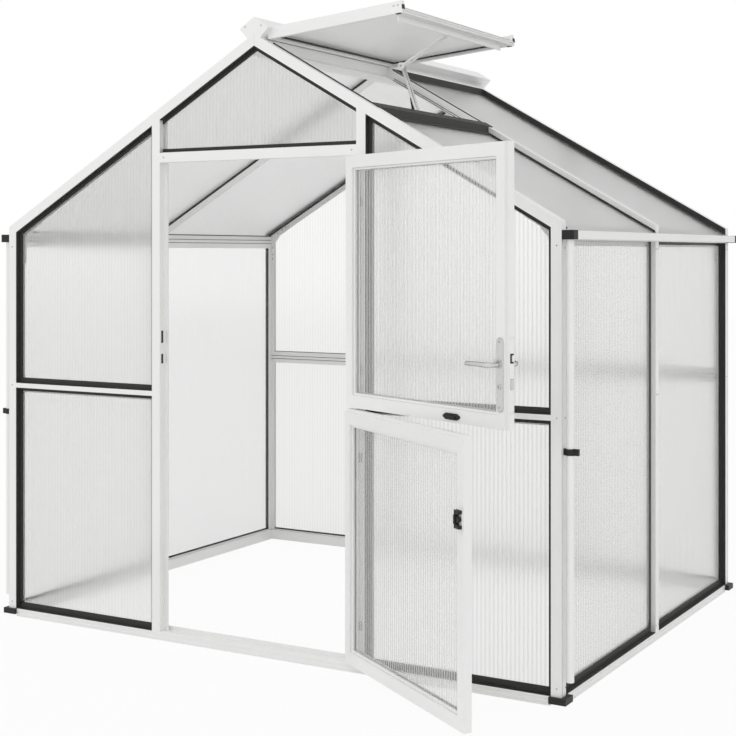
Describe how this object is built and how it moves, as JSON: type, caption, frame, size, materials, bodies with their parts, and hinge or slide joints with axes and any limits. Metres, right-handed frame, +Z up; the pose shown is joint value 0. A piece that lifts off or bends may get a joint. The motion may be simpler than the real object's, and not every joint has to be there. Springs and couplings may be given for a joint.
{
  "type": "greenhouse",
  "caption": "Walk-in greenhouse with a pitched roof, an aluminium frame, twin-wall polycarbonate sheets, a split door, a roof vent, gutters and downpipes.",
  "frame": {"origin": "middle of the underside of the front sill, where the greenhouse stands on its foundation", "axes": "+X to the right seen from the front, +Y from the front wall with the door towards the back wall, +Z up"},
  "size_m": [2.69, 2.5911, 2.5132],
  "materials": {
    "aluminium": "satin mill finish",
    "polycarbonate": "translucent twin-wall sheet",
    "black_plastic": "moulded",
    "gasket_rubber": "matt",
    "steel": "satin"
  },
  "bodies": {
    "structure": {"base_front": "aluminium", "base_back": "aluminium", "base_sides": "aluminium", "base_corners": "black_plastic", "corner_posts": "aluminium", "door_posts": "aluminium", "back_studs": "aluminium", "side_posts": "aluminium", "lintel": "aluminium", "front_mid_rails": "aluminium", "back_mid_rails": "aluminium", "eave_beams": "aluminium", "front_rakes": "aluminium", "back_rakes": "aluminium", "mid_rafters": "aluminium", "ridge_beam": "aluminium", "ridge_cap": "aluminium", "corner_plates": "aluminium", "gutters": "aluminium", "gutter_caps": "black_plastic", "downpipes": "aluminium", "pipe_clips": "black_plastic", "vent_curb": "aluminium", "vent_frame": "aluminium", "vent_sheet": "polycarbonate", "vent_opener": "steel", "front_sheets": "polycarbonate", "gable_sheet": "polycarbonate", "back_sheets": "polycarbonate", "side_sheets": "polycarbonate", "roof_sheets": "polycarbonate", "wall_gaskets": "gasket_rubber", "roof_gaskets": "gasket_rubber", "hinge_wings": "steel"},
    "door_upper": {"upper_leaf_frame": "aluminium", "upper_leaf_sheet": "polycarbonate", "handle_plates": "steel", "lock": "steel", "turn_latch": "black_plastic"},
    "door_lower": {"lower_leaf_frame": "aluminium", "lower_leaf_sheet": "polycarbonate", "rim_latch": "black_plastic"},
    "door_handle": {"lever_handle": "steel"}
  },
  "joints": [
    {"name": "upper_door_hinge", "type": "hinge", "parent": "structure", "child": "door_upper", "pos_m": [0.453, -0.032, 1], "axis": [0, 0, 1], "range_deg": [-155.6, 14.4]},
    {"name": "lower_door_hinge", "type": "hinge", "parent": "structure", "child": "door_lower", "pos_m": [0.453, -0.032, 0.5], "axis": [0, 0, 1], "range_deg": [-145.6, 24.4]},
    {"name": "lever_turn", "type": "hinge", "parent": "door_upper", "child": "door_handle", "pos_m": [1.25121, -0.39409, 1.213], "axis": [-0.4131, -0.9107, 0], "range_deg": [0, 40], "stiffness_Nm_per_rad": 1.5, "springref_deg": -11.46}
  ]
}
